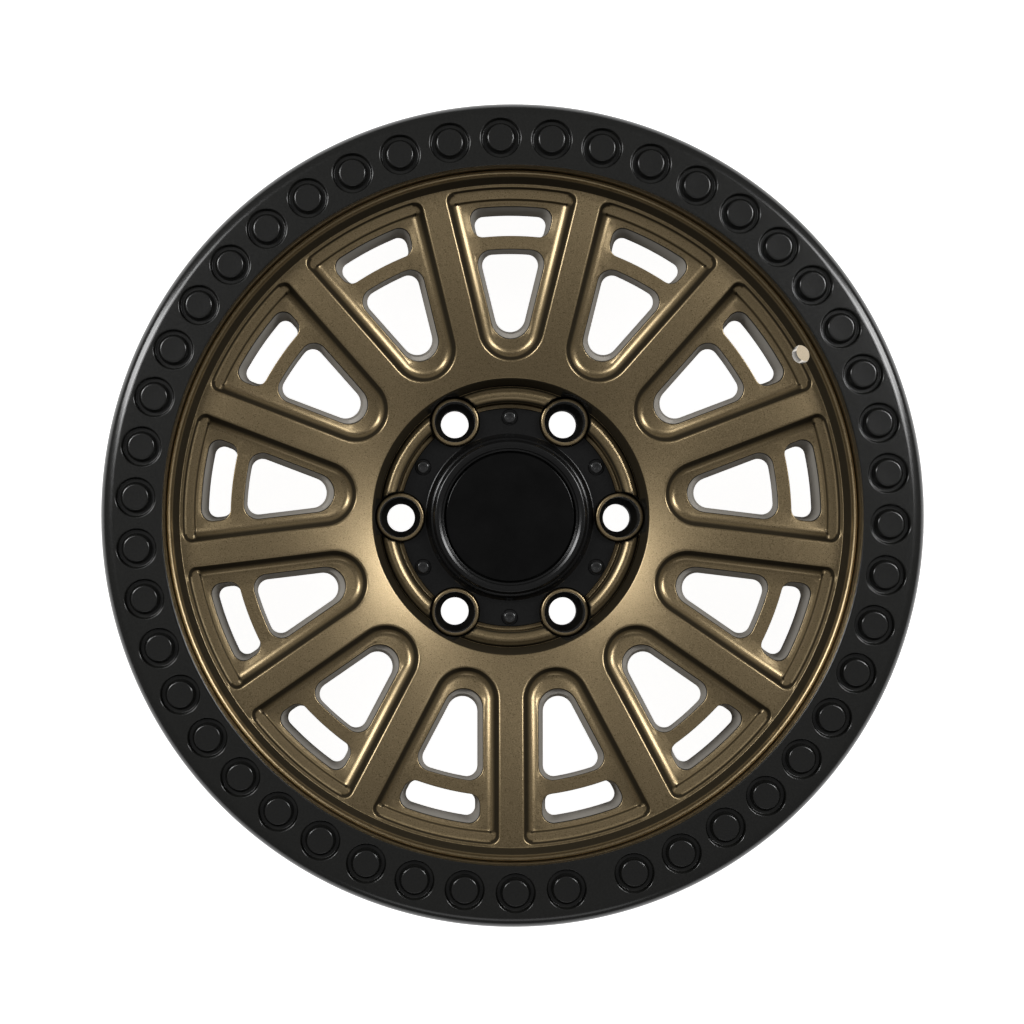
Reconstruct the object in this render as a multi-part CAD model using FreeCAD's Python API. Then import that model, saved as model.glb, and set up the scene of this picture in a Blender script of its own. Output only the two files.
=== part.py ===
import FreeCAD, Part
import math
import os

# Car wheel with a bolted bead ring and a screwed centre cap, in millimetres.
# The origin is the middle of the hub's mounting face and +Z points outboard, so the wheel lies face up.

# Rim, a 5 degree drop-centre contour
bead_seat_radius = 231.0
rim_width = 228.6
wheel_offset = 30.0
flange_height = 17.3
flange_thickness = 11.0
bead_seat_length = 20.0
bead_seat_taper = 5.0
well_depth = 25.0
well_length = 34.0
well_front_rise = 20.3
well_ramp_length = 36.0
barrel_wall = 6.5

# Front lip between the disc and the bead ring
lip_gap_inset = 17.6
lip_crest_inset = 19.8
lip_top_inset = 22.2
lip_foot_inset = 24.2
lip_gap_drop = 8.8
lip_crest_drop = 6.3
lip_top_drop = 8.8

# Disc and spokes
spoke_count = 13
first_pocket_angle = 90.0
spoke_width = 15.4
face_outer_height = 76.0
face_inner_height = 62.0
disc_back_height = 42.0
disc_back_foot = 108.0
pocket_land = 2.6
pocket_corner = 5.6
pocket_end_round = 20.6
pocket_depth = 9.6
pocket_draft = 24.0
pocket_end_draft = 8.0
pocket_ledge_width = 6.4
pocket_ledge_depth = 4.8
cut_overshoot = 4.0

# Windows and slots through the pocket floors
window_side = 17.2
window_corner = 8.8
window_end_round = 12.5
window_draft = 8.0
bridge_width = 8.1
slot_side = 19.3
slot_width = 18.8
slot_inset = 3.0
slot_corner = 7.0
slot_draft = 7.0

# Hub
hub_radius = 87.0
hub_ledge_outer = 80.5
hub_ledge_inner = 78.0
hub_ledge_height = 50.0
hub_floor_radius = 73.5
hub_thickness = 30.0
pad_radius = 85.0
centre_bore_radius = 53.05

# Lug holes
lug_count = 6
lug_circle_radius = 69.85
lug_hole_radius = 9.0
lug_well_radius = 13.0
lug_boss_wall = 2.2
lug_boss_height = 10.0
lug_seat_height = 13.0
lug_seat_angle = 60.0
lug_scallop_gap = 1.6

# Valve hole, leaning outwards on its way to the tyre side
valve_hole_radius = 5.85
valve_inset = 1.0
valve_angle = 29.2
valve_tilt = 16.0
valve_hole_reach = 60.0

# Bead ring and its bolts
ring_gap = 0.3
ring_overhang = 3.7
ring_thickness = 10.0
ring_edge_radius = 8.3
bolt_count = 46
bolt_inset = 16.6
bolt_pitch = 7.765
bolt_start = -81.8
bolt_base_radius = 9.4
bolt_top_radius = 7.8
bolt_head_height = 5.2
bolt_recess_radius = 12.1
bolt_recess_depth = 4.4

# Centre cap, its insert and its screws
cap_flange_radius = 69.8
cap_flange_thickness = 4.0
cap_scallop_gap = 0.8
cap_ring_foot = 52.3
cap_ring_crest = 48.6
cap_ring_inner = 44.6
cap_height = 18.0
cap_wall = 2.8
cap_disc_radius = 40.8
cap_disc_thickness = 3.4
cap_disc_gap = 0.4
cap_disc_drop = 6.0
screw_circle_radius = 63.8
first_screw_angle = 30.0
screw_head_radius = 4.2
screw_head_height = 2.6

# Flats that stand for the round of a fastener head or its recess
head_sides = 12

# Heights and radii that follow
rim_front = rim_width / 2 - wheel_offset
rim_back = -rim_width / 2 - wheel_offset
flange_radius = bead_seat_radius + flange_height
flange_front = rim_front + flange_thickness
flange_back = rim_back - flange_thickness
well_radius = bead_seat_radius - well_depth
leg_radius = bead_seat_radius - bead_seat_length * math.tan(math.radians(bead_seat_taper))
well_front = rim_front - bead_seat_length - well_front_rise
well_back = well_front - well_length
leg_front = well_back - well_ramp_length
lip_gap_radius = bead_seat_radius - lip_gap_inset
lip_crest_radius = bead_seat_radius - lip_crest_inset
lip_top_radius = bead_seat_radius - lip_top_inset
lip_foot_radius = bead_seat_radius - lip_foot_inset
half_pitch = math.pi / spoke_count
pocket_radius = lip_foot_radius - pocket_land
pocket_floor_radius = pocket_radius - pocket_ledge_width
slot_radius = pocket_floor_radius - slot_inset
slot_inner_radius = slot_radius - slot_width
window_radius = slot_inner_radius - bridge_width
valve_circle_radius = lip_foot_radius - valve_inset
face_slope = math.atan2(face_outer_height - face_inner_height, pocket_radius - hub_radius)
lug_boss_radius = lug_well_radius + lug_boss_wall
boss_top = hub_thickness + lug_boss_height
ring_inner_radius = lip_gap_radius + ring_gap
ring_outer_radius = flange_radius + ring_overhang
bolt_circle_radius = ring_inner_radius + bolt_inset
ring_top = flange_front + ring_thickness
recess_floor = ring_top - bolt_recess_depth
cap_flange_top = hub_thickness + cap_flange_thickness
cap_top = hub_thickness + cap_height
cap_seat = cap_top - cap_disc_drop

AXIS = FreeCAD.Vector(0, 0, 1)
CENTRE = FreeCAD.Vector(0, 0, 0)


def turned(points):
    """Solid of revolution about Z from (radius, height) points."""
    corners = [FreeCAD.Vector(r, 0, z) for r, z in points]
    wire = Part.makePolygon(corners + corners[:1])
    return Part.Face(wire).revolve(CENTRE, AXIS, 360)


def cylinder(radius, bottom, top, place=(0, 0)):
    """Upright cylinder between two heights."""
    return Part.makeCylinder(radius, top - bottom, FreeCAD.Vector(*place, bottom))


def cone(bottom_radius, top_radius, bottom, top, place):
    """Upright cone frustum between two heights."""
    return Part.makeCone(bottom_radius, top_radius, top - bottom, FreeCAD.Vector(*place, bottom))


def on_circle(radius, angle):
    """X and Y of a point on a circle about Z, with the angle in degrees."""
    return radius * math.cos(math.radians(angle)), radius * math.sin(math.radians(angle))


def ring_of_points(radius, height, place):
    """Corners of a fastener head at one height."""
    corners = [on_circle(radius, side * 360 / head_sides) for side in range(head_sides)]
    return [FreeCAD.Vector(place[0] + x, place[1] + y, height) for x, y in corners]


def flat(corners):
    """Flat face through some corners."""
    return Part.Face(Part.makePolygon(corners + corners[:1]))


def head(bottom_radius, top_radius, bottom, top, place):
    """Low fastener head, with flats for its round side."""
    low = ring_of_points(bottom_radius, bottom, place)
    high = ring_of_points(top_radius, top, place)
    faces = [flat(low), flat(high)]
    for side in range(head_sides):
        faces.append(flat([low[side - 1], low[side], high[side], high[side - 1]]))
    return Part.Solid(Part.Shell(faces))


def spun(shape, angle):
    """Copy of a shape turned about Z by an angle in degrees."""
    copy = shape.copy()
    copy.rotate(CENTRE, AXIS, angle)
    return copy


def along_side(distance, offset):
    """Point at a distance along the spoke beside the pocket, and an offset from that spoke's middle."""
    x = distance * math.cos(half_pitch) + offset * math.sin(half_pitch)
    y = distance * math.sin(half_pitch) - offset * math.cos(half_pitch)
    return x, y


def mirrored(points):
    """The same points on the other side of the pocket's middle line, in reverse."""
    return [(x, -y) for x, y in reversed(points)]


def line(points, height):
    """Straight edge at one height between two (x, y) points."""
    return Part.makeLine(*[FreeCAD.Vector(x, y, height) for x, y in points])


def arc(points, height):
    """Arc edge at one height through three (x, y) points."""
    return Part.Arc(*[FreeCAD.Vector(x, y, height) for x, y in points]).toShape()


def corner_points(side, radius, corner, inward):
    """Three points of the rounded corner between a spoke side and an arc, from the side to the arc."""
    middle_radius = radius + corner if inward else radius - corner
    run = math.sqrt(middle_radius ** 2 - (side + corner) ** 2)
    x, y = along_side(run, side + corner)
    towards_side = half_pitch + math.pi / 2
    towards_arc = math.atan2(y, x) + (math.pi if inward else 0)
    bearings = towards_side, (towards_side + towards_arc) / 2, towards_arc
    return [(x + corner * math.cos(b), y + corner * math.sin(b)) for b in bearings]


def wedge_wire(side, radius, corner, end_round, height):
    """Outline with sides parallel to the spokes, an arc at its outer end and a full round inside."""
    reach = (end_round + side) / math.sin(half_pitch)
    start = along_side(reach * math.cos(half_pitch), side)
    turn = corner_points(side, radius, corner, False)
    edges = [
        line([start, turn[0]], height),
        arc(turn, height),
        arc([turn[2], (radius, 0), mirrored(turn)[0]], height),
        arc(mirrored(turn), height),
        line(mirrored([start, turn[0]]), height),
        arc([mirrored([start])[0], (reach - end_round, 0), start], height),
    ]
    return Part.Wire(edges)


def slot_wire(side, radius, inner_radius, corner, height):
    """Outline between two arcs, with sides parallel to the spokes and four rounded corners."""
    outer = corner_points(side, radius, corner, False)
    inner = corner_points(side, inner_radius, corner, True)[::-1]
    edges = [
        arc(inner, height),
        line([inner[2], outer[0]], height),
        arc(outer, height),
        arc([outer[2], (radius, 0), mirrored(outer)[0]], height),
        arc(mirrored(outer), height),
        line(mirrored([inner[2], outer[0]]), height),
        arc(mirrored(inner), height),
        arc([mirrored(inner)[2], (inner_radius, 0), inner[0]], height),
    ]
    return Part.Wire(edges)


def pocket_tool(radius, floor):
    """Tool for a pocket from above the face down to a floor: leaning sides and a steeper outer end."""
    wires = []
    for height in (floor, cut_overshoot):
        grow = height * math.tan(math.radians(pocket_draft))
        end = radius + height * math.tan(math.radians(pocket_end_draft))
        wires.append(wedge_wire(spoke_width / 2 - grow, end, pocket_corner, pocket_end_round + grow, height))
    return Part.makeLoft(wires, True, True)


def window_tool():
    """Tool for the inner window of a pocket, narrower at the back."""
    wires = []
    for height in (-face_outer_height, 0):
        grow = (height + pocket_depth) * math.tan(math.radians(window_draft))
        side = window_side - grow
        wires.append(wedge_wire(side, window_radius + grow, window_corner, window_end_round + grow, height))
    return Part.makeLoft(wires, True, True)


def slot_tool():
    """Tool for the outer slot of a pocket, narrower at the back."""
    wires = []
    for height in (-face_outer_height, 0):
        grow = (height + pocket_depth) * math.tan(math.radians(slot_draft))
        side = slot_side - grow
        wires.append(slot_wire(side, slot_radius + grow, slot_inner_radius - grow, slot_corner, height))
    return Part.makeLoft(wires, True, True)


def pocket_tools():
    """The cuts for one pocket, on the slope of the spoke face."""
    tools = [
        pocket_tool(pocket_floor_radius, -pocket_depth),
        pocket_tool(pocket_radius, -pocket_ledge_depth),
        window_tool(),
        slot_tool(),
    ]
    for tool in tools:
        tool.rotate(FreeCAD.Vector(pocket_radius, 0, 0), FreeCAD.Vector(0, 1, 0), -math.degrees(face_slope))
        tool.translate(FreeCAD.Vector(0, 0, face_outer_height))
    return tools


def wheel_blank():
    """Barrel, disc and hub as one turned section."""
    tyre_side = [
        (lip_gap_radius, flange_front),
        (flange_radius, flange_front),
        (flange_radius, rim_front),
        (bead_seat_radius, rim_front),
        (leg_radius, rim_front - bead_seat_length),
        (well_radius, well_front),
        (well_radius, well_back),
        (leg_radius, leg_front),
        (leg_radius, rim_back + bead_seat_length),
        (bead_seat_radius, rim_back),
        (flange_radius, rim_back),
        (flange_radius, flange_back),
    ]
    brake_side = [
        (leg_radius - barrel_wall, flange_back),
        (leg_radius - barrel_wall, leg_front),
        (well_radius - barrel_wall, well_back),
        (well_radius - barrel_wall, disc_back_height),
        (disc_back_foot, disc_back_height),
        (pad_radius, 0),
    ]
    front = [
        (centre_bore_radius, 0),
        (centre_bore_radius, hub_thickness),
        (hub_floor_radius, hub_thickness),
        (hub_ledge_inner, hub_ledge_height),
        (hub_ledge_outer, hub_ledge_height),
        (hub_radius, face_inner_height),
        (lip_foot_radius, face_outer_height),
        (lip_top_radius, flange_front - lip_top_drop),
        (lip_crest_radius, flange_front - lip_crest_drop),
        (lip_gap_radius, flange_front - lip_gap_drop),
    ]
    return turned(tyre_side + brake_side + front)


def lug_places():
    """Places of the lug holes."""
    return [on_circle(lug_circle_radius, index * 360 / lug_count) for index in range(lug_count)]


def lug_cuts(place):
    """Tools for one lug hole: stud hole, conical seat and socket well."""
    seat_slope = math.tan(math.radians(lug_seat_angle / 2))
    seat_top = lug_seat_height + (lug_well_radius - lug_hole_radius) / seat_slope
    return [
        cylinder(lug_hole_radius, -hub_thickness, lug_seat_height, place),
        cone(lug_hole_radius, lug_well_radius, lug_seat_height, seat_top, place),
        cylinder(lug_well_radius, seat_top, face_inner_height, place),
    ]


def valve_tool():
    """Tool for the valve hole."""
    tool = cylinder(valve_hole_radius, -valve_hole_reach, valve_hole_reach)
    tool.rotate(CENTRE, FreeCAD.Vector(0, 1, 0), -valve_tilt)
    tool.translate(FreeCAD.Vector(valve_circle_radius, 0, face_outer_height))
    return spun(tool, valve_angle)


def wheel_casting():
    """The cast wheel: turned blank, lug bosses, pockets, windows and holes."""
    scallops = []
    bosses = []
    cuts = [valve_tool()]
    for place in lug_places():
        scallops.append(cylinder(lug_boss_radius + lug_scallop_gap, hub_thickness, face_inner_height, place))
        bosses.append(cylinder(lug_boss_radius, hub_thickness / 2, boss_top, place))
        cuts += lug_cuts(place)
    for index in range(spoke_count):
        cuts += [spun(tool, first_pocket_angle + index * 360 / spoke_count) for tool in pocket_tools()]
    return wheel_blank().cut(scallops).fuse(bosses).cut(cuts).removeSplitter()


def bolt_places():
    """Places of the ring bolts: even steps with one wider gap."""
    return [on_circle(bolt_circle_radius, bolt_start - index * bolt_pitch) for index in range(bolt_count)]


def bead_ring():
    """The ring on the front flange, with a recess for each bolt head."""
    ring = cylinder(ring_outer_radius, flange_front, ring_top)
    ring = ring.cut(cylinder(ring_inner_radius, flange_front, ring_top))
    rim = [edge for edge in ring.Edges if edge.BoundBox.ZMin > flange_front and edge.BoundBox.XMax > flange_radius]
    ring = ring.makeFillet(ring_edge_radius, rim)
    recesses = []
    for place in bolt_places():
        recesses.append(head(bolt_recess_radius, bolt_recess_radius, recess_floor, ring_top, place))
    return ring.cut(recesses)


def ring_bolts():
    """Low round heads, each seated on the floor of its recess."""
    bolts = []
    bolt_top = recess_floor + bolt_head_height
    for place in bolt_places():
        bolts.append(head(bolt_base_radius, bolt_top_radius, recess_floor, bolt_top, place))
    return Part.makeCompound(bolts)


def cap_body():
    """The moulded cap: scalloped flange, raised ring and a floor for its insert."""
    cap = turned(
        [
            (0, cap_seat),
            (cap_disc_radius + cap_disc_gap, cap_seat),
            (cap_ring_inner, cap_top),
            (cap_ring_crest, cap_top),
            (cap_ring_foot, cap_flange_top),
            (cap_flange_radius, cap_flange_top),
            (cap_flange_radius, hub_thickness),
            (cap_ring_crest - cap_wall, hub_thickness),
            (cap_ring_crest - cap_wall, cap_seat - cap_wall),
            (0, cap_seat - cap_wall),
        ]
    )
    scallop = lug_boss_radius + cap_scallop_gap
    return cap.cut([cylinder(scallop, 0, boss_top, place) for place in lug_places()])


def cap_disc():
    """The plain round insert of the cap."""
    return cylinder(cap_disc_radius, cap_seat, cap_seat + cap_disc_thickness)


def cap_screws():
    """Low screw heads on the cap's flange, between the lug bosses."""
    screws = []
    screw_top = cap_flange_top + screw_head_height
    for index in range(lug_count):
        place = on_circle(screw_circle_radius, first_screw_angle + index * 360 / lug_count)
        screws.append(head(screw_head_radius, screw_head_radius, cap_flange_top, screw_top, place))
    return Part.makeCompound(screws)


os.makedirs("parts", exist_ok=True)
wheel_casting().exportStep("parts/wheel_casting.step")
bead_ring().exportStep("parts/bead_ring.step")
ring_bolts().exportStep("parts/ring_bolts.step")
cap_body().exportStep("parts/cap_body.step")
cap_disc().exportStep("parts/cap_disc.step")
cap_screws().exportStep("parts/cap_screws.step")
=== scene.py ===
import math

import bmesh
import bpy
import numpy as np
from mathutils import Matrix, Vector
from mathutils.geometry import delaunay_2d_cdt


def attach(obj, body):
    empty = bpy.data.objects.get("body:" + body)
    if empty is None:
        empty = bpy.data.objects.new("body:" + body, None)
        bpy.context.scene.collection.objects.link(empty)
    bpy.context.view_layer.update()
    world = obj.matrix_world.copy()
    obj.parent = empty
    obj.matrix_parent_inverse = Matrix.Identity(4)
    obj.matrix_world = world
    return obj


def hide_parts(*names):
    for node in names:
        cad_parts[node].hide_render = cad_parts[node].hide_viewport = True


# Car wheel lying face up on a white floor. Sizes are millimetres in the frame of the CAD model, and angles
# are degrees, unless a line says otherwise.
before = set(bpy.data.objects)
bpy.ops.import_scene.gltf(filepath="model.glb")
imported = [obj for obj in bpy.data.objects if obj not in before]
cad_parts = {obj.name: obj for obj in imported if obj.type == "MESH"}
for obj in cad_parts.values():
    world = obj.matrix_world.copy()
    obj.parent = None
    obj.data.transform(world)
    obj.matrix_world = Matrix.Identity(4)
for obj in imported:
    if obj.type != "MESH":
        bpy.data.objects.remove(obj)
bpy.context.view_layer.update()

MM = 0.001
TINY = 1e-6

# Steps round each kind of turned shape
TURNS = 176
LUG_TURNS = 56
SCALLOP_TURNS = 72
RING_TURNS = 368
BOLT_TURNS = 44
CAP_TURNS = 200
INSERT_TURNS = 160
SCREW_SEAT_TURNS = 40
SCREW_TURNS = 36

# Rim and lip
LIP_FOOT = 206.1
SPIGOT_RADIUS = 213.4
GROOVE_FLOOR = 85.2
FLANGE_FRONT = 95.3
FLANGE_BACK = -155.3
FLANGE_RADIUS = 248.3
FRONT_SHOULDER = 84.3
BACK_SHOULDER = -144.3
BEAD_SEAT = 231.0
BARREL_RADIUS = 229.25
WELL_RADIUS = 206.0
WELL_INSIDE = 199.5
WELL_BACK = 10.0
RAMP_BACK = -26.0

# Disc and spokes
SPOKES = 13
HALF_PITCH = math.pi / SPOKES
SPOKE_HALF = 7.7
FACE_OUTER = 77.0
FACE_INNER = 61.0
FACE_EDGE = 205.35
DISH_POWER = 2.1
BACK = 42.0
POCKET_RADIUS = 204.2
POCKET_CORNER = 5.6
POCKET_END = 20.6
POCKET_DEPTH = 10.0
SIDE_LEAN = 23.0
LEDGE_WIDTH = 6.4

# Windows and slots at the pocket floor; leans are those of the sides, the outer end and the inner end
WINDOW_SIDE = 17.2
WINDOW_END = 12.5
WINDOW_RADIUS = 167.3
WINDOW_CORNER = 8.8
WINDOW_LEANS = (8.5, 1.0, 5.0)
SLOT_SIDE = 19.3
SLOT_OUTER = 193.8
SLOT_INNER = 175.4
SLOT_CORNER = 7.0
SLOT_LEANS = (7.0, 6.0, 3.0)
OPENING_ROUND = 0.8

# Hub
HUB_RADIUS = 87.0
HUB_EDGE = 89.2
HUB_FLOOR = 30.0
HUB_WALL = 73.0
CENTRE_BORE = 53.05
HUB_BEAD = (77.6, 44.6)
HUB_BEAD_RADIUS = 4.6
LUGS = 6
LUG_CIRCLE = 69.85
LUG_HOLE = 9.0
BOSS_RADIUS = 15.2
BOSS_TOP = 40.0

# Valve hole
VALVE_RADIUS = 5.85
VALVE_CIRCLE = 205.8
VALVE_BEARING = 29.2
VALVE_TILT = -16

# Ring and bolts
RING_INNER = 213.7
RING_OUTER = 252.0
RING_TOP = 105.3
RING_ROUND = 8.3
BOLTS = 46
BOLT_CIRCLE = 230.3
BOLT_PITCH = 7.765
BOLT_START = -81.8
RECESS_RADIUS = 12.2
RECESS_FLOOR = 100.9
BOLT_TOP = 5.2

# Centre cap
CAP_FLOOR = 42.0
CAP_TOP = 48.0
CAP_FLANGE = 34.0
CAP_FLANGE_RADIUS = 69.8
CAP_INSIDE = 45.8
CAP_ROOF = 39.2
SCALLOP_GAP = 0.8
INSERT_RADIUS = 40.8
CROWN_STEPS = 12
CROWN_RADIUS = 40.0
CROWN_TOP = 45.4
CROWN_FALL = 0.5
SCREWS = 6
SCREW_CIRCLE = 63.8
SCREW_START = 30
SCREW_SEAT = 33.2
SCREW_TOP = 36.4
SCREW_RADIUS = 4.2
SOCKET_LOOPS = ((SCREW_TOP, 1.95), (35.2, 1.85))     # height and corner radius
SOCKET_FLOOR = 35.0

# Marks on the casting's points: painted shade on walls and in recesses, and grey walls inside windows and
# slots
PAINTED_SHADE = 0.5
GREY_MARK = 1.0


# ---------------------------------------------------------------- outlines and sections

def on_circle(radius, degrees):
    """X and Y on a circle about Z."""
    return radius * math.cos(math.radians(degrees)), radius * math.sin(math.radians(degrees))


ARC_REACH = 0.47    # share of a side that the arc at one of its ends may take
ARC_CLEAR = 1.2     # a side this many times longer than its arc's share gets a support point


def rounded(corners, steps=5, support=0.35):
    """Section through (radius, height, round) corners, each corner eased by an arc."""
    path = []
    for i, (x, y, radius) in enumerate(corners):
        here = Vector((x, y))
        if radius == 0 or i in (0, len(corners) - 1):
            path.append((x, y))
            continue
        before = Vector(corners[i - 1][:2]) - here
        after = Vector(corners[i + 1][:2]) - here
        half = before.angle(after) / 2
        run = min(radius / math.tan(half), ARC_REACH * before.length, ARC_REACH * after.length)
        radius = run * math.tan(half)
        u, v = before.normalized(), after.normalized()
        centre = here + (u + v).normalized() * (radius / math.sin(half))
        first, last = here + u * run - centre, here + v * run - centre
        if before.length > run * ARC_CLEAR + 2 * support:
            path.append(tuple(here + u * (run + support)))
        a0 = math.atan2(first.y, first.x)
        sweep = math.atan2(last.y, last.x) - a0
        sweep = (sweep + math.pi) % (2 * math.pi) - math.pi
        for k in range(steps + 1):
            a = a0 + sweep * k / steps
            path.append((centre.x + radius * math.cos(a), centre.y + radius * math.sin(a)))
        if after.length > run * ARC_CLEAR + 2 * support:
            path.append(tuple(here + v * (run + support)))
    return path


def along_side(distance, offset):
    """Point at a distance along the spoke beside a pocket, and an offset from that spoke's middle."""
    x = distance * math.cos(HALF_PITCH) + offset * math.sin(HALF_PITCH)
    y = distance * math.sin(HALF_PITCH) - offset * math.cos(HALF_PITCH)
    return x, y


def arc_points(centre, radius, start, stop, count):
    """Points on an arc, without its last one; the bearings are in radians."""
    points = []
    for k in range(count):
        a = start + (stop - start) * k / count
        points.append((centre[0] + radius * math.cos(a), centre[1] + radius * math.sin(a)))
    return points


def whole_arc(centre, radius, start, stop, count):
    """Points on an arc, with its last one."""
    last = (centre[0] + radius * math.cos(stop), centre[1] + radius * math.sin(stop))
    return arc_points(centre, radius, start, stop, count) + [last]


def corner_arc(side, radius, corner, inward):
    """Centre and end bearings of the rounded corner between a spoke side and an arc."""
    middle = radius + corner if inward else radius - corner
    run = math.sqrt(middle ** 2 - (side + corner) ** 2)
    x, y = along_side(run, side + corner)
    towards_side = HALF_PITCH + math.pi / 2
    towards_arc = math.atan2(y, x) + (math.pi if inward else 0)
    return (x, y), towards_side, towards_arc


def mirrored(points):
    """The same points on the other side of the pocket's middle line, in reverse."""
    return [(x, -y) for x, y in reversed(points)]


# Shares along a pocket's side, closer together towards the ledge at its outer end
SIDE_SHARES = [
    0, 0.14, 0.28, 0.42, 0.55, 0.66, 0.74, 0.79, 0.83, 0.865, 0.89, 0.91, 0.93, 0.95, 0.965, 0.98, 0.99,
]
WINDOW_SHARES = [0, 0.25, 0.5, 0.75]


def wedge(side, radius, corner, end_round, corners=9, across=20, inside=24, shares=SIDE_SHARES):
    """Loop with sides parallel to the spokes, an arc at its outer end and a full round inside."""
    reach = (end_round + side) / math.sin(HALF_PITCH)
    start = along_side(reach * math.cos(HALF_PITCH), side)
    centre, b0, b1 = corner_arc(side, radius, corner, False)
    turn = whole_arc(centre, corner, b0, b1, corners)
    dx, dy = turn[0][0] - start[0], turn[0][1] - start[1]
    half = [(start[0] + dx * s, start[1] + dy * s) for s in shares] + turn
    far = math.atan2(turn[-1][1], turn[-1][0])
    end = arc_points((0, 0), radius, far, -far, across)[1:]
    a = math.atan2(-start[1], start[0] - reach)
    near = arc_points((reach, 0), end_round, a, -a - 2 * math.pi, inside)[1:]
    return half + end + mirrored(half) + near


def slot(side, radius, inner_radius, corner, corners=7, across=16, flank=4):
    """Loop between two arcs, with sides parallel to the spokes and four rounded corners."""
    centre, b0, b1 = corner_arc(side, inner_radius, corner, True)
    low = whole_arc(centre, corner, b1, b0, corners)
    centre, b0, b1 = corner_arc(side, radius, corner, False)
    high = whole_arc(centre, corner, b0, b1, corners)
    (x0, y0), (x1, y1) = low[-1], high[0]
    shares = [k / flank for k in range(1, flank)]
    half = low + [(x0 + (x1 - x0) * s, y0 + (y1 - y0) * s) for s in shares] + high
    far = math.atan2(high[-1][1], high[-1][0])
    near = math.atan2(low[0][1], low[0][0])
    outer_end = arc_points((0, 0), radius, far, -far, across)[1:]
    inner_end = arc_points((0, 0), inner_radius, -near, near, across)[1:]
    return half + outer_end + mirrored(half) + inner_end


# ---------------------------------------------------------------- spoke face and pockets

def face_height(radius):
    """Height of the dished spoke face, steeper towards the hub."""
    share = (LIP_FOOT - radius) / (LIP_FOOT - HUB_RADIUS)
    return FACE_OUTER - (FACE_OUTER - FACE_INNER) * max(share, 0.0) ** DISH_POWER


def look_up(section, d):
    """Height of a section at a distance from the rim."""
    if d <= section[0][0]:
        return section[0][1]
    for (x0, y0), (x1, y1) in zip(section, section[1:]):
        if d <= x1:
            return y0 + (y1 - y0) * (d - x0) / max(x1 - x0, 1e-9)
    return section[-1][1]


def smaller(a, b, blend):
    """The smaller of two heights, eased where they meet."""
    if blend <= TINY:
        return min(a, b)
    h = max(blend - abs(a - b), 0) / blend
    return min(a, b) - h * h * blend / 4


def steep(angle, depth):
    """Distance that a wall takes to fall to a depth, with its lean in degrees."""
    return depth * math.tan(math.radians(angle))


# Wall sections from the spoke face to the floor: (distance from the rim, height, round)
BEFORE_WALL, PAST_WALL = -4, 20
SIDE = rounded(
    [
        (BEFORE_WALL, 0, 0),
        (0, 0, 1.6),
        (steep(SIDE_LEAN, POCKET_DEPTH), -POCKET_DEPTH, 8.2),
        (PAST_WALL, -POCKET_DEPTH, 0),
    ],
    16,
    0.0,
)
LEDGE = rounded([(BEFORE_WALL, 0, 0), (0, 0, 0.7), (0.6, -4.6, 1.1), (PAST_WALL, -6.6, 0)], 8, 0.0)
STEP = rounded(
    [(BEFORE_WALL, 0, 0), (-0.2, 0, 0.3), (0.5, -POCKET_DEPTH, 1.2), (PAST_WALL, -POCKET_DEPTH, 0)], 10, 0.0
)

# How the sections meet
FLOOR_DISTANCE = 99     # past the end of every section
SIDE_OVERLAP = 1.5      # the side's section holds this far past the corner's bisector
LEDGE_REACH = 40        # farthest that the ledge's section counts from a side
CORNER_EDGE = 0.8       # width of the ledge's edge round a corner
STEP_BLEND = 1.6        # easing between the step's foot and the side's cove
LEDGE_BLEND = 0.9       # easing at the ledge's front edge
EASE_START, EASE_RUN = 1.0, 2.0     # that last easing grows in from the side


def side_distance(x, y):
    """Distance of a point from the sides and inner end of the pocket on +X; it is negative outside."""
    y = abs(y)
    along = x * math.cos(HALF_PITCH) + y * math.sin(HALF_PITCH)
    reach = (POCKET_END + SPOKE_HALF) / math.sin(HALF_PITCH)
    if along < reach * math.cos(HALF_PITCH):
        return POCKET_END - math.hypot(x - reach, y)
    return x * math.sin(HALF_PITCH) - y * math.cos(HALF_PITCH) - SPOKE_HALF


def pocket_drop(x, y):
    """How far the pocket's surface lies below the spoke face at a point of the pocket on +X."""
    d_side = side_distance(x, y)
    d_out = POCKET_RADIUS - math.hypot(x, y)
    if d_side < POCKET_CORNER and d_out < POCKET_CORNER:
        d_rim = POCKET_CORNER - math.hypot(POCKET_CORNER - d_side, POCKET_CORNER - d_out)
        upper = max(look_up(SIDE, d_rim), look_up(LEDGE, d_rim if d_rim < CORNER_EDGE else d_out))
    else:
        d_rim = min(d_side, d_out)
        wall = look_up(SIDE, d_rim if d_side < d_out + SIDE_OVERLAP else FLOOR_DISTANCE)
        upper = max(wall, look_up(LEDGE, min(d_out, d_rim + LEDGE_REACH)))
    lower = -smaller(-look_up(SIDE, d_side), -look_up(STEP, d_out - LEDGE_WIDTH), STEP_BLEND)
    ease = min(max((d_side - EASE_START) / EASE_RUN, 0.0), 1.0)
    return smaller(upper, lower, LEDGE_BLEND * ease)


# ---------------------------------------------------------------- meshes

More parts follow.
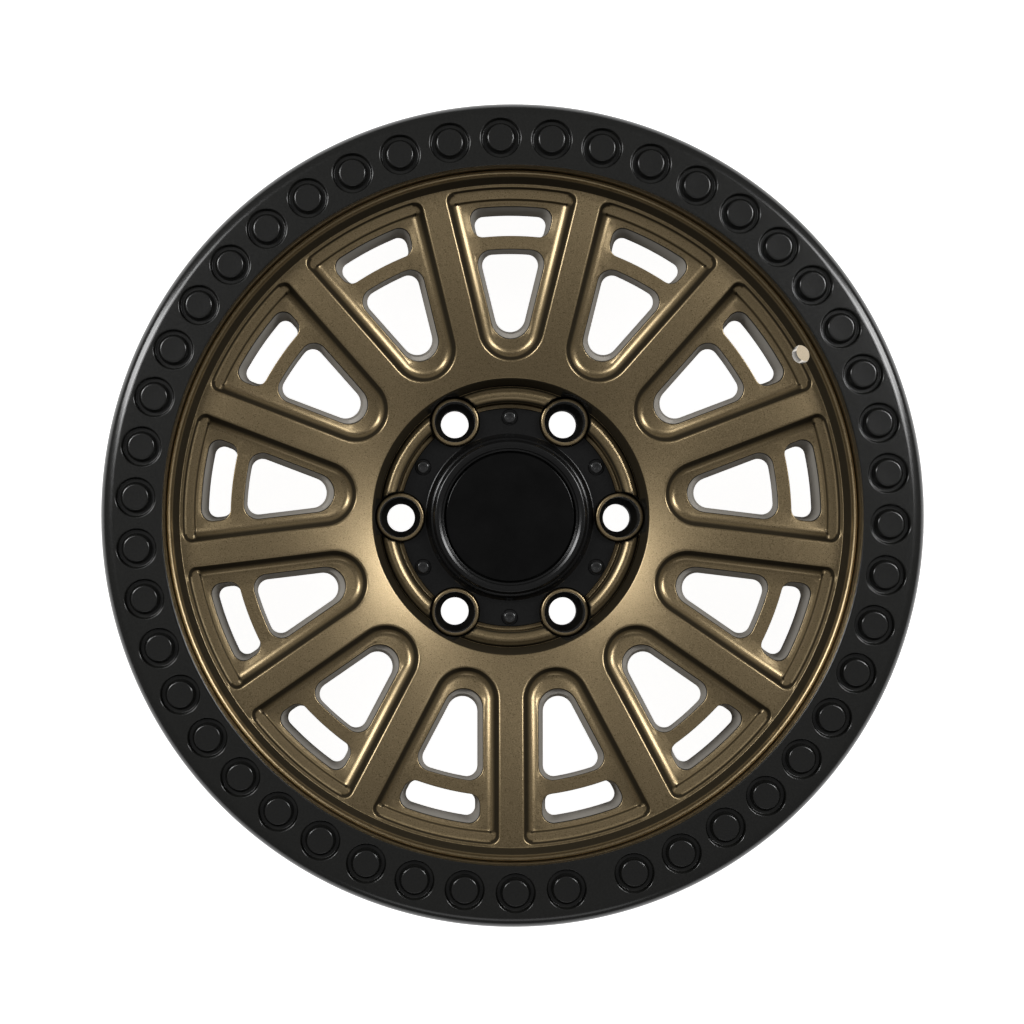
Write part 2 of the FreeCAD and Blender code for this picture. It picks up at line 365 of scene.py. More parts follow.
class Shell:
    """Points and faces of one piece; a mark on each point says how much shade is painted on the surface, or
    that it is grey.
    """

    def __init__(self):
        self.points = []
        self.marks = []
        self.faces = []

    def ring(self, points, mark=0.0):
        """Adds points and gives their numbers."""
        start = len(self.points)
        self.points += points
        self.marks += [mark] * len(points)
        return list(range(start, len(self.points)))

    def skin(self, a, b):
        """Four-sided faces between two loops of the same length."""
        for i in range(len(a)):
            self.faces.append((a[i - 1], a[i], b[i], b[i - 1]))

    def stack(self, loops, marks=None):
        """Loops of points joined one after the other."""
        rings = [self.ring(loop, marks[i] if marks else 0.0) for i, loop in enumerate(loops)]
        for a, b in zip(rings, rings[1:]):
            self.skin(a, b)
        return rings

    def fan(self, ring, point):
        """Triangles from a loop to one point."""
        tip = self.ring([point])[0]
        for i in range(len(ring)):
            self.faces.append((ring[i - 1], ring[i], tip))

    def fill(self, loops, inside=()):
        """Triangles over the area between loops, found in plan, through any points inside it."""
        flat = [i for loop in loops for i in loop] + list(inside)
        edges = []
        start = 0
        for loop in loops:
            edges += [(start + k, start + (k + 1) % len(loop)) for k in range(len(loop))]
            start += len(loop)
        plan = np.array([self.points[i][:2] for i in flat])
        _, _, made, sources, _, _ = delaunay_2d_cdt([Vector(p) for p in plan], edges, [], 1, 1e-7)
        tris = np.array([[sources[v][0] for v in tri] for tri in made])
        middle = plan[tris].mean(axis=1)
        a, b = plan[[e[0] for e in edges]], plan[[e[1] for e in edges]]
        for tri, (x, y) in zip(tris, middle):
            # A triangle is kept if an odd number of loop edges lies to the right of its middle
            level = (a[:, 1] > y) != (b[:, 1] > y)
            p, q = a[level], b[level]
            right = p[:, 0] + (y - p[:, 1]) * (q[:, 0] - p[:, 0]) / (q[:, 1] - p[:, 1]) > x
            if right.sum() % 2:
                self.faces.append(tuple(flat[v] for v in tri))

    def turn(self, section, turns=TURNS, place=(0, 0)):
        """Section of (radius, height) points turned about an upright axis; ends at radius 0 close it."""
        rings = []
        for r, z in section:
            if r > TINY:
                spots = [on_circle(r, k * 360 / turns) for k in range(turns)]
                rings.append(self.ring([(place[0] + x, place[1] + y, z) for x, y in spots]))
        for a, b in zip(rings, rings[1:]):
            self.skin(a, b)
        for ring, (r, z) in ((rings[0], section[0]), (rings[-1], section[-1])):
            if r <= TINY:
                self.fan(ring, (place[0], place[1], z))
        return rings

    def piece(self, name):
        """Object in metres with its faces turned outwards."""
        mesh = bpy.data.meshes.new(name)
        mesh.from_pydata([(x * MM, y * MM, z * MM) for x, y, z in self.points], [], self.faces)
        # The marks become an attribute that paints shade and grey onto the surface
        if any(self.marks):
            mesh.attributes.new("shade_and_grey_mark", "FLOAT", "POINT").data.foreach_set("value", self.marks)
        work = bmesh.new()
        work.from_mesh(mesh)
        bmesh.ops.recalc_face_normals(work, faces=work.faces)
        work.to_mesh(mesh)
        work.free()
        thing = bpy.data.objects.new(name, mesh)
        bpy.context.scene.collection.objects.link(thing)
        return thing


def carve(thing, tool, how):
    """Cuts, or adds, a tool and applies the result."""
    step = thing.modifiers.new("carve", "BOOLEAN")
    step.operation = how
    step.solver = "MANIFOLD"
    step.object = tool
    bpy.context.view_layer.update()
    made = bpy.data.meshes.new_from_object(thing.evaluated_get(bpy.context.evaluated_depsgraph_get()))
    thing.modifiers.clear()
    old = thing.data
    thing.data = made
    made.name = thing.name
    bpy.data.meshes.remove(old)
    bpy.data.objects.remove(tool)


def smooth(thing, degrees=38):
    """Smooth shading with crisp edges, and flats that stay flat beside their rounds."""
    thing.data.polygons.foreach_set("use_smooth", [True] * len(thing.data.polygons))
    thing.data.set_sharp_from_angle(angle=math.radians(degrees))
    step = thing.modifiers.new("weighted", "WEIGHTED_NORMAL")
    step.keep_sharp = True
    step.weight = 60


def spun(points, degrees):
    """Loop turned about Z."""
    c, s = math.cos(math.radians(degrees)), math.sin(math.radians(degrees))
    return [(x * c - y * s, x * s + y * c, z) for x, y, z in points]


# ---------------------------------------------------------------- the casting

# Distances from the pocket's rim at which its wall has a row of points
RIM_ROWS = [-0.95, -0.6, -0.25, 0.1, 0.45, 0.9, 1.6, 2.4, 3.2, 4.0, 4.7, 5.3, 5.8, 6.3, 6.8, 7.3, 7.9, 8.5]
LEAST_CORNER = 1.0


def pocket_loops():
    """Loops of a pocket on +X, from the spoke face down to its floor."""
    loops = []
    for d in RIM_ROWS:
        corner = max(POCKET_CORNER - d, LEAST_CORNER)
        plan = wedge(SPOKE_HALF + d, POCKET_RADIUS - d, corner, POCKET_END - d)
        loops.append([(x, y, face_height(math.hypot(x, y)) + pocket_drop(x, y)) for x, y in plan])
    return loops


EDGE_DEPTH = 5.0            # an opening's wall follows the dish down to here
SHADE_EDGE_ROWS = (2.4, 2.9)     # the painted shade along an opening's edge ends between these depths
# Drops between which shade is painted along the front edge of an opening
SHADE_EDGE_START, SHADE_EDGE_END = -0.1, -2.6
GREY_END = 0.9              # the grey wall ends this far above the back, and shade is painted below it


def opening_loops(outline, leans):
    """Loops of a window or slot from the pocket floor to the back, with their marks: painted shade along
    its edges, grey between.
    """
    lean, out, inn = leans
    loops, marks = [], []
    top = [(OPENING_ROUND, 0, 0), (0, 0, OPENING_ROUND), (-steep(lean, EDGE_DEPTH), -EDGE_DEPTH, 0)]
    edge = rounded(top, 3, 0.12)
    edge[-1:-1] = [(-steep(lean, d), -d) for d in SHADE_EDGE_ROWS]
    for grow, drop in edge:
        deep = max(-drop - OPENING_ROUND, 0.0)
        plan = outline(grow, steep(out, deep), steep(inn, deep))
        loops.append([(x, y, face_height(math.hypot(x, y)) - POCKET_DEPTH + drop) for x, y in plan])
        # Painted shade along the front edge, grey wall below it
        marks.append(0.0 if drop > SHADE_EDGE_START else PAINTED_SHADE if drop > SHADE_EDGE_END else GREY_MARK)
    deep = FACE_OUTER - POCKET_DEPTH - BACK
    foot = -steep(lean, deep)
    bottom = [(foot * 0.6, BACK + deep * 0.4, 0), (foot, BACK, OPENING_ROUND), (foot + 3, BACK, 0)]
    for grow, z in rounded(bottom, 2, 0.25):
        share = deep - (z - BACK)
        plan = outline(grow, steep(out, share), steep(inn, share))
        loops.append([(x, y, z) for x, y in plan])
        # Grey wall, with painted shade along the edge at the back
        marks.append(GREY_MARK if z > BACK + GREY_END else PAINTED_SHADE)
    return loops, marks


def window_outline(grow, out, inn):
    """Window loop, wider by grow; out and inn bring its two ends inwards."""
    shift = inn * math.sin(HALF_PITCH) / (1 - math.sin(HALF_PITCH))
    radius = WINDOW_RADIUS + max(grow, 0) - out
    corner = WINDOW_CORNER + grow * 0.5
    return wedge(WINDOW_SIDE - grow, radius, corner, WINDOW_END + grow + shift, 8, 14, 20, WINDOW_SHARES)


def slot_outline(grow, out, inn):
    """Slot loop, wider by grow; out and inn bring its two ends inwards."""
    radius = SLOT_OUTER + max(grow, 0) - out
    inner_radius = SLOT_INNER - max(grow, 0) + inn
    return slot(SLOT_SIDE - grow, radius, inner_radius, SLOT_CORNER + grow * 0.4)


FACE_START, FACE_STEP, FACE_RINGS = 92.6, 4.0, 28
FACE_CLEAR = 2.2            # distance that the face's points keep from the pockets


def face_points():
    """Points on the dished face between the hub and the pockets, so that its curve shades smoothly."""
    half = 180 / SPOKES
    points = []
    for step in range(FACE_RINGS):
        r = FACE_START + step * FACE_STEP
        count = SPOKES * max(8, round(2 * math.pi * r / SPOKES / FACE_STEP))
        for k in range(count):
            turn = 360 * (k + 0.5 * (step % 2)) / count
            bearing = (turn + half) % (2 * half) - half
            if side_distance(*on_circle(r, bearing)) < -FACE_CLEAR:
                points.append((*on_circle(r, 90 + turn), face_height(r)))
    return points


def rim_section():
    """From the edge of the spoke face over lip, flange and barrel to the back of the disc."""
    return rounded(
        [
            (FACE_EDGE, face_height(FACE_EDGE), 0),
            (LIP_FOOT, FACE_OUTER, 1.8),
            (208.9, 85.4, 2.6),
            (210.5, 89.0, 2.8),
            (212.8, 89.7, 2.0),
            (213.2, GROOVE_FLOOR, 0.1),
            (SPIGOT_RADIUS, GROOVE_FLOOR, 0.1),
            (SPIGOT_RADIUS, FLANGE_FRONT, 0),
            (FLANGE_RADIUS, FLANGE_FRONT, 0.8),
            (FLANGE_RADIUS, FRONT_SHOULDER, 4.5),
            (BEAD_SEAT, FRONT_SHOULDER, 5.0),
            (BARREL_RADIUS, 64.3, 3.5),
            (WELL_RADIUS, 44.0, 12.0),
            (WELL_RADIUS, WELL_BACK, 12.0),
            (BARREL_RADIUS, RAMP_BACK, 9.0),
            (BARREL_RADIUS, -124.3, 3.0),
            (BEAD_SEAT, BACK_SHOULDER, 5.0),
            (FLANGE_RADIUS, BACK_SHOULDER, 4.5),
            (FLANGE_RADIUS, FLANGE_BACK, 1.6),
            (224.2, FLANGE_BACK, 2.0),
            (223.4, RAMP_BACK, 9.0),
            (WELL_INSIDE, WELL_BACK, 9.0),
            (WELL_INSIDE, BACK, 3.0),
            (195.6, BACK, 0),
        ],
        3,
    )


def hub_section():
    """From the back of the disc over hub pad, bore, floor and half-round bead to the spoke face."""
    pad = rounded(
        [
            (108.5, BACK, 0),
            (105.5, 37.5, 5.0),
            (85.0, 0, 1.5),
            (CENTRE_BORE, 0, 1.0),
            (CENTRE_BORE, HUB_FLOOR, 0.6),
            (HUB_WALL, HUB_FLOOR, 1.5),
            (HUB_WALL, HUB_BEAD[1], 0),
        ],
        5,
    )
    bead = arc_points(HUB_BEAD, HUB_BEAD_RADIUS, math.pi, 0, 13)
    wall = rounded(
        [
            (82.2, HUB_BEAD[1], 0),
            (82.8, 43.8, 0.4),
            (86.2, 59.6, 0.4),
            (HUB_RADIUS, face_height(HUB_RADIUS), 0.9),
            (HUB_EDGE, face_height(HUB_EDGE), 0),
        ],
        5,
    )
    return pad[:-1] + bead + wall


def make_casting():
    """Barrel, disc, spokes and hub in one skin."""
    shell = Shell()
    pockets, backs = [], []
    rim = pocket_loops()
    window, window_marks = opening_loops(window_outline, WINDOW_LEANS)
    gap, gap_marks = opening_loops(slot_outline, SLOT_LEANS)
    for index in range(SPOKES):
        turn = 90 + index * 360 / SPOKES
        rings = shell.stack([spun(loop, turn) for loop in rim])
        first = shell.stack([spun(loop, turn) for loop in window], window_marks)
        second = shell.stack([spun(loop, turn) for loop in gap], gap_marks)
        shell.fill([rings[-1], first[0], second[0]])
        pockets.append(rings[0])
        backs += [first[-1], second[-1]]
    barrel = shell.turn(rim_section())
    hub = shell.turn(hub_section())
    shell.fill([barrel[0], hub[-1]] + pockets, shell.ring(face_points()))
    shell.fill([barrel[-1], hub[0]] + backs)
    return shell.piece("cast_wheel")


def lug_tool(section, turns=LUG_TURNS):
    """Section turned about each of the lug holes."""
    shell = Shell()
    for index in range(LUGS):
        shell.turn(section, turns, on_circle(LUG_CIRCLE, index * 360 / LUGS))
    return shell.piece("tool")


def valve_tool():
    """Tilted pin for the valve hole."""
    shell = Shell()
    shell.turn([(0, -40), (VALVE_RADIUS, -40), (VALVE_RADIUS, 60), (0, 60)], LUG_TURNS)
    tool = shell.piece("tool")
    tilt, a = math.radians(VALVE_TILT), math.radians(VALVE_BEARING)
    for vertex in tool.data.vertices:
        x, y, z = vertex.co
        x, z = x * math.cos(tilt) + z * math.sin(tilt), z * math.cos(tilt) - x * math.sin(tilt)
        x, z = x + VALVE_CIRCLE * MM, z + FACE_OUTER * MM
        vertex.co = (x * math.cos(a) - y * math.sin(a), x * math.sin(a) + y * math.cos(a), z)
    return tool


HUB_LIMIT = 100             # inside this radius, marks left by the carving are cleared
STEEP_FROM, STEEP_RUN = 0.93, 0.4   # upward part of a normal where the painted shade starts, and its run to full
# strength of the shade painted on steep walls
STEEP_SHADE = 0.42
WALL_START = 1.5            # shade is painted on walls from this height above the back
WALL_LIMIT = 209.4          # and up to this radius on the lip
UNMARKED = 0.1              # points marked less than this carry no mark of an opening
WELL_START = 0.5            # shade is painted in the lug wells from this far below the boss's top
WELL_LIMIT = 13.2           # distances from a lug hole's middle
SCALLOP_LIMITS = (15.5, 16.2)


def paint_shade_on_walls(thing):
    """Paints shade, as dark marks, on steep walls, on the insides of the lug wells and on the walls round
    the bosses.
    """
    mesh = thing.data
    places = np.empty(len(mesh.vertices) * 3)
    mesh.vertices.foreach_get("co", places)
    places = places.reshape(-1, 3) / MM
    height = places[:, 2]
    marks = np.empty(len(places))
    mesh.attributes["shade_and_grey_mark"].data.foreach_get("value", marks)
    radius = np.hypot(places[:, 0], places[:, 1])
    marks[radius < HUB_LIMIT] = 0
    normals = np.empty(len(places) * 3)
    mesh.vertex_normals.foreach_get("vector", normals)
    share = np.clip((STEEP_FROM - normals[2::3]) / STEEP_RUN, 0, 1)
    wall = (height > BACK + WALL_START) & (radius < WALL_LIMIT) & (marks < UNMARKED)
    marks[wall] = STEEP_SHADE * (share * share * (3 - 2 * share))[wall]
    for index in range(LUGS):
        x, y = on_circle(LUG_CIRCLE, index * 360 / LUGS)
        away = np.hypot(places[:, 0] - x, places[:, 1] - y)
        marks[(away < WELL_LIMIT) & (height < BOSS_TOP - WELL_START)] = PAINTED_SHADE
        marks[(away > SCALLOP_LIMITS[0]) & (away < SCALLOP_LIMITS[1])] = PAINTED_SHADE
    mesh.attributes["shade_and_grey_mark"].data.foreach_set("value", marks)


SCALLOP = [(0, 24), (15.6, 24), (15.9, 30.2), (16.0, 80), (0, 80)]
BOSS = rounded(
    [(0, 8, 0), (BOSS_RADIUS, 8, 0), (BOSS_RADIUS, BOSS_TOP, 0.9), (12.4, BOSS_TOP, 0), (0, BOSS_TOP, 0)], 4
)
LUG_WELL = [(0, -5), (LUG_HOLE, -5)] + rounded(
    [(LUG_HOLE, -1, 0), (LUG_HOLE, 13.0, 0.5), (12.6, 20.6, 0.8), (13.0, BOSS_TOP, 0.8), (15.0, 41.6, 0)], 4
) + [(0, 41.6)]

casting = make_casting()
carve(casting, lug_tool(SCALLOP), "DIFFERENCE")
carve(casting, lug_tool(BOSS), "UNION")
carve(casting, lug_tool(LUG_WELL), "DIFFERENCE")
carve(casting, valve_tool(), "DIFFERENCE")
# Paints shade on steep walls, in the lug wells and round the bosses
paint_shade_on_walls(casting)
smooth(casting)


# ---------------------------------------------------------------- ring and bolts

def bolt_places():
    """Middles of the bolts; the last one leaves the wider gap before the first."""
    return [on_circle(BOLT_CIRCLE, BOLT_START - index * BOLT_PITCH) for index in range(BOLTS)]


def make_ring():
    """Ring with eased edges and a round recess for each bolt."""
    shell = Shell()
    edge_middle = (RING_OUTER - RING_ROUND, RING_TOP - RING_ROUND)
    edge = arc_points(edge_middle, RING_ROUND, math.pi / 2, 0, 16)
    edge += rounded(
        [
            (RING_OUTER, RING_TOP - RING_ROUND, 0),
            (RING_OUTER, FLANGE_FRONT, 0.8),
            (RING_OUTER - 4, FLANGE_FRONT, 0),
            (RING_INNER, FLANGE_FRONT, 0),
            (RING_INNER, RING_TOP, 0.9),
            (RING_INNER + 1.6, RING_TOP, 0),
        ],
        6,
        0.1,
    )
    rings = shell.turn(edge, RING_TURNS)
    recess = rounded(
        [
            (RECESS_RADIUS + 1.0, RING_TOP, 0),
            (RECESS_RADIUS, RING_TOP, 0.8),
            (RECESS_RADIUS - 0.5, RECESS_FLOOR, 0.9),
            (10.2, RECESS_FLOOR, 0),
            (0, RECESS_FLOOR, 0),
        ],
        4,
    )
    holes = [shell.turn(recess, BOLT_TURNS, place)[0] for place in bolt_places()]
    shell.fill([rings[0], rings[-1]] + holes)
    return shell.piece("clamp_ring")


def make_bolts():
    """Low round heads: a flange, a step and an eased top edge."""
    shell = Shell()
    section = rounded(
        [
            (0, RECESS_FLOOR, 0),
            (9.4, RECESS_FLOOR, 0),
            (9.4, RECESS_FLOOR + 1.2, 0.5),
            (8.6, RECESS_FLOOR + 1.9, 0.5),
            (8.0, RECESS_FLOOR + BOLT_TOP, 0.8),
            (6.4, RECESS_FLOOR + BOLT_TOP, 0),
            (0, RECESS_FLOOR + 5.1, 0),
        ],
        4,
    )
    for place in bolt_places():
        shell.turn(section, BOLT_TURNS, place)
    return shell.piece("ring_heads")


ring = make_ring()
smooth(ring)
bolts = make_bolts()
smooth(bolts)


# ---------------------------------------------------------------- centre cap

def screw_places():
    """Middles of the cap's screws."""
    return [on_circle(SCREW_CIRCLE, SCREW_START + index * 360 / SCREWS) for index in range(SCREWS)]


def screw_seat_tool():
    """Shallow round seats with an eased edge, one for each screw."""
    section = rounded(
        [(0, SCREW_SEAT, 0), (5.0, SCREW_SEAT, 0.3), (5.3, CAP_FLANGE, 0.2), (5.6, 36, 0), (0, 36, 0)], 3
    )
    shell = Shell()
    for place in screw_places():
        shell.turn(section, SCREW_SEAT_TURNS, place)
    return shell.piece("tool")


def make_cap():
    """Moulded cap with a scalloped flange, screw seats and a stepped raised ring."""
    shell = Shell()
    section = rounded(
        [
            (0, CAP_FLOOR, 0),
            (41.2, CAP_FLOOR, 0.5),
            (42.0, 45.6, 0.5),
            (43.0, 45.6, 0.4),
            (43.6, 47.4, 0.5),
            (45.2, CAP_TOP, 0.8),
            (47.6, CAP_TOP, 1.2),
            (49.0, 44.6, 1.0),
            (50.2, 44.2, 0.6),
            (51.4, 36.0, 1.0),
            (53.4, CAP_FLANGE, 1.4),
            (CAP_FLANGE_RADIUS, CAP_FLANGE, 0.7),
            (CAP_FLANGE_RADIUS, HUB_FLOOR, 0.3),
            (CAP_INSIDE, HUB_FLOOR, 0.3),
            (CAP_INSIDE, CAP_ROOF, 1.0),
            (0, CAP_ROOF, 0),
        ],
        5,
    )
    shell.turn(section, CAP_TURNS)
    thing = shell.piece("hub_cap")
    scallop = BOSS_RADIUS + SCALLOP_GAP
    carve(thing, lug_tool([(0, 20), (scallop, 20), (scallop, 60), (0, 60)], SCALLOP_TURNS), "DIFFERENCE")
    carve(thing, screw_seat_tool(), "DIFFERENCE")
    return thing


def make_insert():
    """Plain gloss insert with a soft crown and an eased edge."""
    crown = []
    for k in range(CROWN_STEPS):
        crown.append((CROWN_RADIUS * k / CROWN_STEPS, CROWN_TOP - CROWN_FALL * (k / CROWN_STEPS) ** 2))
    edge = rounded(
        [
            (39.0, 44.92, 0),
            (INSERT_RADIUS, 44.8, 0.8),
            (INSERT_RADIUS, CAP_FLOOR, 0.2),
            (38.0, CAP_FLOOR, 0),
        ],
        5,
    )
    shell = Shell()
    shell.turn(crown + edge + [(0, CAP_FLOOR)], INSERT_TURNS)
    return shell.piece("cap_insert")


def make_screws():
    """Button heads with a six-sided socket."""
    section = rounded(
        [
            (2.0, SCREW_TOP, 0),
            (3.3, SCREW_TOP, 0.7),
            (SCREW_RADIUS, 34.9, 0.6),
            (SCREW_RADIUS, SCREW_SEAT, 0),
            (0, SCREW_SEAT, 0),
        ],
        4,
    )
    shell = Shell()
    for place in screw_places():
        rings = shell.turn(section, SCREW_TURNS, place)
        sides = []
        for height, radius in SOCKET_LOOPS:
            loop = []
            for k in range(SCREW_TURNS):
                a = math.radians(k * 360 / SCREW_TURNS)
                flat = radius * math.cos(math.pi / 6) / math.cos((a % (math.pi / 3)) - math.pi / 6)
                loop.append((place[0] + flat * math.cos(a), place[1] + flat * math.sin(a), height))
            sides.append(shell.ring(loop))
        shell.skin(rings[0], sides[0])
        shell.skin(sides[0], sides[1])
        shell.fan(sides[1], (place[0], place[1], SOCKET_FLOOR))
    return shell.piece("cap_screw_heads")


cap = make_cap()
smooth(cap)
insert = make_insert()
smooth(insert)
screws = make_screws()
smooth(screws, 30)


# ---------------------------------------------------------------- materials

class Finish:
    """Material with one shader, and the nodes that vary it."""

    def __init__(self, name, colour, metallic, roughness, specular):
        self.material = bpy.data.materials.new(name)
        self.material.use_nodes = True
        self.nodes = self.material.node_tree.nodes
        self.links = self.material.node_tree.links
        self.shader = self.nodes["Principled BSDF"]
        self.shader.inputs["Base Color"].default_value = (*colour, 1)
        self.shader.inputs["Metallic"].default_value = metallic
        self.shader.inputs["Roughness"].default_value = roughness
        self.shader.inputs["Specular IOR Level"].default_value = specular

    def feed(self, name, source):
        """Links a value to one of the shader's sockets."""
        self.links.new(source, self.shader.inputs[name])

    def grain(self, scale, detail=3.0):
        """Noise fixed to the piece."""
        where = self.nodes.new("ShaderNodeTexCoord")
        noise = self.nodes.new("ShaderNodeTexNoise")
        noise.inputs["Scale"].default_value = scale
        noise.inputs["Detail"].default_value = detail
        noise.inputs["Roughness"].default_value = 0.55
        self.links.new(where.outputs["Object"], noise.inputs["Vector"])
        return noise.outputs["Fac"]

    def ramp(self, source, start, stop, low, high):
        """Value that goes from low to high as the source goes from start to stop; low may be linked."""
        node = self.nodes.new("ShaderNodeMapRange")
        node.inputs["From Min"].default_value = start
        node.inputs["From Max"].default_value = stop
        if isinstance(low, (int, float)):
            node.inputs["To Min"].default_value = low
        else:
            self.links.new(low, node.inputs["To Min"])
        node.inputs["To Max"].default_value = high
        self.links.new(source, node.inputs["Value"])
        return node.outputs["Result"]

    def spread(self, source, low, high):
        """The middle of a noise's range, spread from low to high."""
        return self.ramp(source, 0.3, 0.7, low, high)

    def blend(self, share, a, b):
        """Mix of two tones, each a constant or linked."""
        mix = self.nodes.new("ShaderNodeMix")
        mix.data_type = "RGBA"
        for socket, value in ((mix.inputs[6], a), (mix.inputs[7], b)):
            if isinstance(value, tuple):
                socket.default_value = (*value, 1)
            else:
                self.links.new(value, socket)
        self.links.new(share, mix.inputs[0])
        return mix.outputs[2]

    def bump(self, source, strength, distance=0.0002):
        """Fine unevenness of the surface."""
        rise = self.nodes.new("ShaderNodeBump")
        rise.inputs["Strength"].default_value = strength
        rise.inputs["Distance"].default_value = distance
        self.links.new(source, rise.inputs["Height"])
        self.feed("Normal", rise.outputs["Normal"])


BRONZE = (0.25, 0.188, 0.1)
BRONZE_DARK = (0.195, 0.143, 0.07)
BRONZE_LIGHT = (0.312, 0.237, 0.133)
BRONZE_CLOUD = (0.236, 0.178, 0.096)
# Tone of the shade painted on walls and in recesses, and grey for the walls inside windows and slots
PAINTED_SHADE_TONE = (0.008, 0.007, 0.005)
WALL_GREY = (0.32, 0.3, 0.268)
BRONZE_METAL = 0.94
BRONZE_COAT = 0.4
SHADE_FULL, GREY_FROM = 0.45, 0.55   # marks at which a wall's painted shade is full, and at which it starts to turn grey


def bronze_paint():
    """Satin bronze paint with fine flake; painted shade, matt and dark, on marked walls, and matt grey on
    the grey-marked ones.
    """
    finish = Finish("bronze_paint", BRONZE, BRONZE_METAL, 0.32, 0.05)
    flake = finish.grain(1500.0, 2.0)
    cloud = finish.grain(14.0)
    attribute = finish.nodes.new("ShaderNodeAttribute")
    attribute.attribute_name = "shade_and_grey_mark"
    mark = attribute.outputs["Fac"]
    tone = finish.blend(finish.spread(flake, 0, 1), BRONZE_DARK, BRONZE_LIGHT)
    tone = finish.blend(finish.spread(cloud, 0, 0.22), tone, BRONZE_CLOUD)
    # Painted shade on marked walls, then grey
    tone = finish.blend(finish.ramp(mark, 0, SHADE_FULL, 0, 1), tone, PAINTED_SHADE_TONE)
    tone = finish.blend(finish.ramp(mark, GREY_FROM, 1, 0, 1), tone, WALL_GREY)
    finish.feed("Base Color", tone)
    # Where shade is painted the surface is also matt, with no metal or coat
    finish.feed("Metallic", finish.ramp(mark, 0, SHADE_FULL, BRONZE_METAL, 0))
    finish.feed("Coat Weight", finish.ramp(mark, 0, SHADE_FULL, BRONZE_COAT, 0))
    finish.shader.inputs["Coat Roughness"].default_value = 0.28
    finish.feed("Roughness", finish.ramp(mark, 0, SHADE_FULL, finish.spread(flake, 0.27, 0.37), 0.75))
    finish.bump(flake, 0.12)
    return finish.material


def satin_black(name, base, roughness, scale, strength, specular):
    """Satin black finish with a fine texture."""
    finish = Finish(name, base, 0.0, roughness, specular)
    fine = finish.grain(scale)
    cloud = finish.grain(20.0)
    light = tuple(v * 1.5 for v in base)
    dark = tuple(v * 0.75 for v in base)
    tone = finish.blend(finish.spread(fine, 0, 1), dark, light)
    tone = finish.blend(finish.spread(cloud, 0, 0.25), tone, light)
    finish.feed("Base Color", tone)
    finish.feed("Roughness", finish.spread(fine, roughness - 0.02, roughness + 0.03))
    finish.bump(fine, strength)
    return finish.material


def gloss_black():
    """Deep gloss black with faint polishing haze."""
    deep, lighter = (0.0025, 0.0025, 0.0025), (0.004, 0.004, 0.004)
    finish = Finish("cap_gloss", lighter, 0.0, 0.12, 0.15)
    haze = finish.grain(60.0, 4.0)
    finish.feed("Base Color", finish.blend(finish.spread(haze, 0, 1), deep, lighter))
    finish.feed("Roughness", finish.spread(haze, 0.12, 0.14))
    return finish.material


# Satin blacks: tone, roughness, scale of the texture, its strength, specular level
SATIN_BLACKS = {
    "ring_black": ((0.007, 0.007, 0.0064), 0.18, 1100.0, 0.012, 0.5),
    "bolt_black": ((0.006, 0.006, 0.0056), 0.18, 1300.0, 0.01, 0.55),
    "cap_black": ((0.005, 0.005, 0.005), 0.2, 1600.0, 0.008, 0.35),
    "screw_black": ((0.012, 0.012, 0.012), 0.2, 1300.0, 0.01, 0.8),
}
finishes = {"bronze_paint": bronze_paint(), "cap_gloss": gloss_black()}
for name, values in SATIN_BLACKS.items():
    finishes[name] = satin_black(name, *values)

dressed = [
    (casting, "wheel_casting", "bronze_paint"),
    (ring, "bead_ring", "ring_black"),
    (bolts, "ring_bolts", "bolt_black"),
    (cap, "cap_body", "cap_black"),
    (insert, "cap_disc", "cap_gloss"),
    (screws, "cap_screws", "screw_black"),
]
for thing, node, slot_name in dressed:
    thing.data.materials.clear()
    thing.data.materials.append(finishes[slot_name])
    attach(thing, "root")
    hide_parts(node)


# ---------------------------------------------------------------- studio, in metres

FLOOR_HALF = 30.0
FLOOR_TONE = 0.8
FLOOR_GLOW = 0.95


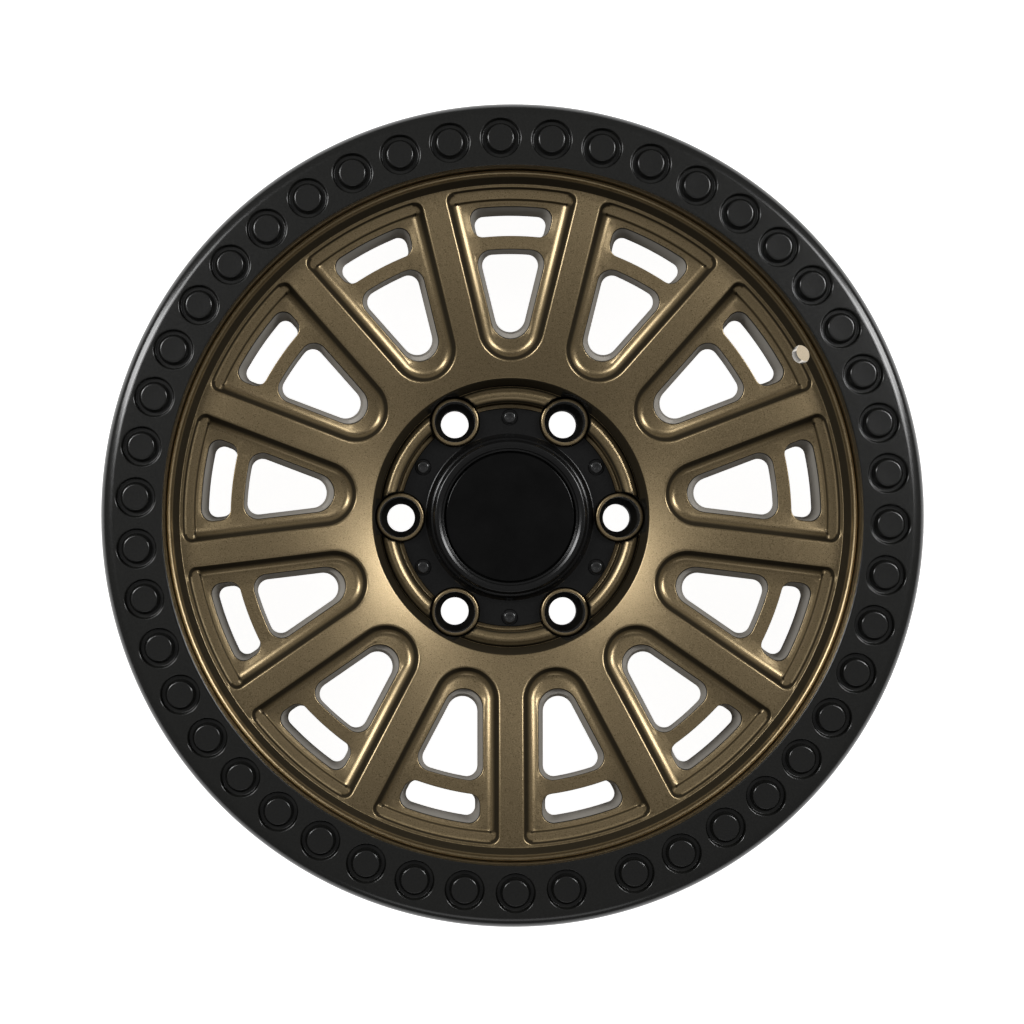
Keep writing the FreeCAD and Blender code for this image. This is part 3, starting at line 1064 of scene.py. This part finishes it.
def make_floor():
    """White floor that glows to the camera, in reflections and through clear material."""
    mesh = bpy.data.meshes.new("floor")
    size, z = FLOOR_HALF, FLANGE_BACK * MM
    corners = [(-size, -size, z), (size, -size, z), (size, size, z), (-size, size, z)]
    mesh.from_pydata(corners, [], [(0, 1, 2, 3)])
    floor = bpy.data.objects.new("floor", mesh)
    bpy.context.scene.collection.objects.link(floor)
    made = bpy.data.materials.new("floor_white")
    made.use_nodes = True
    nodes, links = made.node_tree.nodes, made.node_tree.links
    nodes.clear()
    matt = nodes.new("ShaderNodeBsdfDiffuse")
    matt.inputs["Color"].default_value = (FLOOR_TONE, FLOOR_TONE, FLOOR_TONE, 1)
    path = nodes.new("ShaderNodeLightPath")
    seen = path.outputs["Is Camera Ray"]
    for ray in ("Is Glossy Ray", "Is Transmission Ray"):
        total = nodes.new("ShaderNodeMath")
        total.operation = "ADD"
        links.new(seen, total.inputs[0])
        links.new(path.outputs[ray], total.inputs[1])
        seen = total.outputs[0]
    scaled = nodes.new("ShaderNodeMath")
    scaled.operation = "MULTIPLY"
    scaled.inputs[1].default_value = FLOOR_GLOW
    links.new(seen, scaled.inputs[0])
    glow = nodes.new("ShaderNodeEmission")
    links.new(scaled.outputs[0], glow.inputs["Strength"])
    both = nodes.new("ShaderNodeAddShader")
    links.new(matt.outputs[0], both.inputs[0])
    links.new(glow.outputs[0], both.inputs[1])
    out = nodes.new("ShaderNodeOutputMaterial")
    links.new(both.outputs[0], out.inputs["Surface"])
    mesh.materials.append(made)


AIM = Vector((0, 0, 0.07))

# Soft boxes: name, bearing, angle from upright, distance, width, height, watts
PANELS = [
    ("strip_right", 25, 50, 1.6, 0.35, 0.9, 12.5),
    ("strip_left", 155, 50, 1.6, 0.35, 0.9, 13),
    ("high_right", 28, 33, 1.6, 0.5, 0.4, 5.0),
    ("high_left", 150, 33, 1.6, 0.5, 0.4, 4.2),
    ("soft_near", 270, 55, 2.0, 1.2, 0.5, 2),
]


def panel(name, bearing, polar, distance, width, height, watts):
    """Soft box that looks at the wheel."""
    lamp = bpy.data.lights.new(name, "AREA")
    lamp.shape = "RECTANGLE"
    lamp.size, lamp.size_y = width, height
    lamp.energy = watts
    thing = bpy.data.objects.new(name, lamp)
    bpy.context.scene.collection.objects.link(thing)
    a, p = math.radians(bearing), math.radians(polar)
    way = Vector((math.sin(p) * math.cos(a), math.sin(p) * math.sin(a), math.cos(p)))
    thing.location = way * distance + AIM
    thing.rotation_euler = way.to_track_quat("Z", "Y").to_euler()


def make_world():
    """Even pale light from all round."""
    world = bpy.data.worlds.new("studio")
    bpy.context.scene.world = world
    world.use_nodes = True
    background = world.node_tree.nodes["Background"]
    background.inputs["Color"].default_value = (0.9, 0.9, 0.9, 1)
    background.inputs["Strength"].default_value = 0.2


def make_camera():
    """Camera that looks straight down, with the picture shifted to where the wheel lies."""
    camera = bpy.data.cameras.new("camera")
    camera.sensor_width = 36.0
    camera.lens = 86.15
    camera.shift_x, camera.shift_y = 0.0673, 0.0441
    camera.clip_end = 100.0
    eye = bpy.data.objects.new("camera", camera)
    bpy.context.scene.collection.objects.link(eye)
    eye.location = (-0.0425, -0.0255, 1.598)
    bpy.context.scene.camera = eye


make_floor()
for row in PANELS:
    panel(*row)
make_world()
make_camera()
bpy.context.scene.view_settings.view_transform = "Standard"
